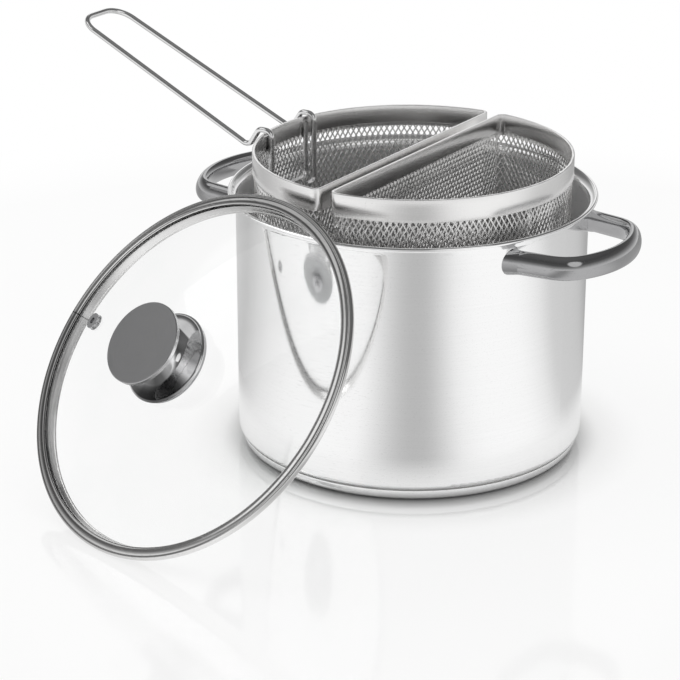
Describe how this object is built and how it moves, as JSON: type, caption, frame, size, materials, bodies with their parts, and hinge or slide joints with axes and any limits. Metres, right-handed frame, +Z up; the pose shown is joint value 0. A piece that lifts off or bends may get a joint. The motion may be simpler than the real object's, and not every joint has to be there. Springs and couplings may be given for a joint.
{
  "type": "pasta pot",
  "caption": "Tall steel pot with two half-moon mesh strainer baskets, a hook-on wire handle, loop side handles and a domed glass lid leaning against it.",
  "frame": {"origin": "centre of the pot's underside, on the floor", "axes": "+Z up along the pot's axis; side handles at +X and -X; the baskets' flat sides run along Y; the wire handle points to -X and the lid leans towards -Y"},
  "size_m": [0.4418, 0.4075, 0.2677],
  "materials": {
    "polished": "mirror-polished stainless steel",
    "satin": "satin stainless steel",
    "mesh": "bright expanded steel mesh",
    "wire": "bright drawn wire",
    "core": "plain, sealed in",
    "glass": "clear tempered glass",
    "seal": "clear silicone",
    "knob_top": "satin top with a turned edge"
  },
  "bodies": {
    "pot": {"pot_body": "polished", "base_core": "core", "base_cap": "satin", "handle_right_bow": "polished", "handle_left_bow": "polished", "handle_right_front_foot": "polished", "handle_right_rear_foot": "polished", "handle_left_front_foot": "polished", "handle_left_rear_foot": "polished"},
    "basket_left": {"basket_left_rim_band": "satin", "basket_left_foot_band": "satin", "basket_left_mesh_panel_1": "mesh", "basket_left_mesh_panel_2": "mesh", "basket_left_mesh_panel_3": "mesh", "basket_left_mesh_panel_4": "mesh", "basket_left_mesh_panel_5": "mesh", "basket_left_mesh_panel_6": "mesh", "basket_left_mesh_panel_7": "mesh", "basket_left_mesh_flat": "mesh", "basket_left_mesh_floor": "mesh", "basket_left_bracket": "wire"},
    "basket_right": {"basket_right_rim_band": "satin", "basket_right_foot_band": "satin", "basket_right_mesh_panel_1": "mesh", "basket_right_mesh_panel_2": "mesh", "basket_right_mesh_panel_3": "mesh", "basket_right_mesh_panel_4": "mesh", "basket_right_mesh_panel_5": "mesh", "basket_right_mesh_panel_6": "mesh", "basket_right_mesh_panel_7": "mesh", "basket_right_mesh_flat": "mesh", "basket_right_mesh_floor": "mesh", "basket_right_bracket": "wire"},
    "wire_handle": {"basket_handle": "wire"},
    "lid": {"lid_glass": "glass", "lid_rim_band": "satin", "lid_vent_eyelet": "satin", "knob_gasket": "seal", "knob_body": "satin", "knob_top_cap": "knob_top", "knob_washer": "seal", "knob_cup_washer": "satin", "knob_screw": "satin"}
  },
  "joints": [
    {"name": "basket_left_lift", "type": "slide", "parent": "pot", "child": "basket_left", "axis": [0, 0, 1], "range_m": [0, 0.2]},
    {"name": "basket_right_lift", "type": "slide", "parent": "pot", "child": "basket_right", "axis": [0, 0, 1], "range_m": [0, 0.2]},
    {"name": "wire_handle_lift", "type": "slide", "parent": "basket_left", "child": "wire_handle", "axis": [0, 0, 1], "range_m": [0, 0.06]},
    {"name": "lid_lift", "type": "slide", "parent": "pot", "child": "lid", "axis": [0, 0, 1], "range_m": [0, 0.25]}
  ]
}
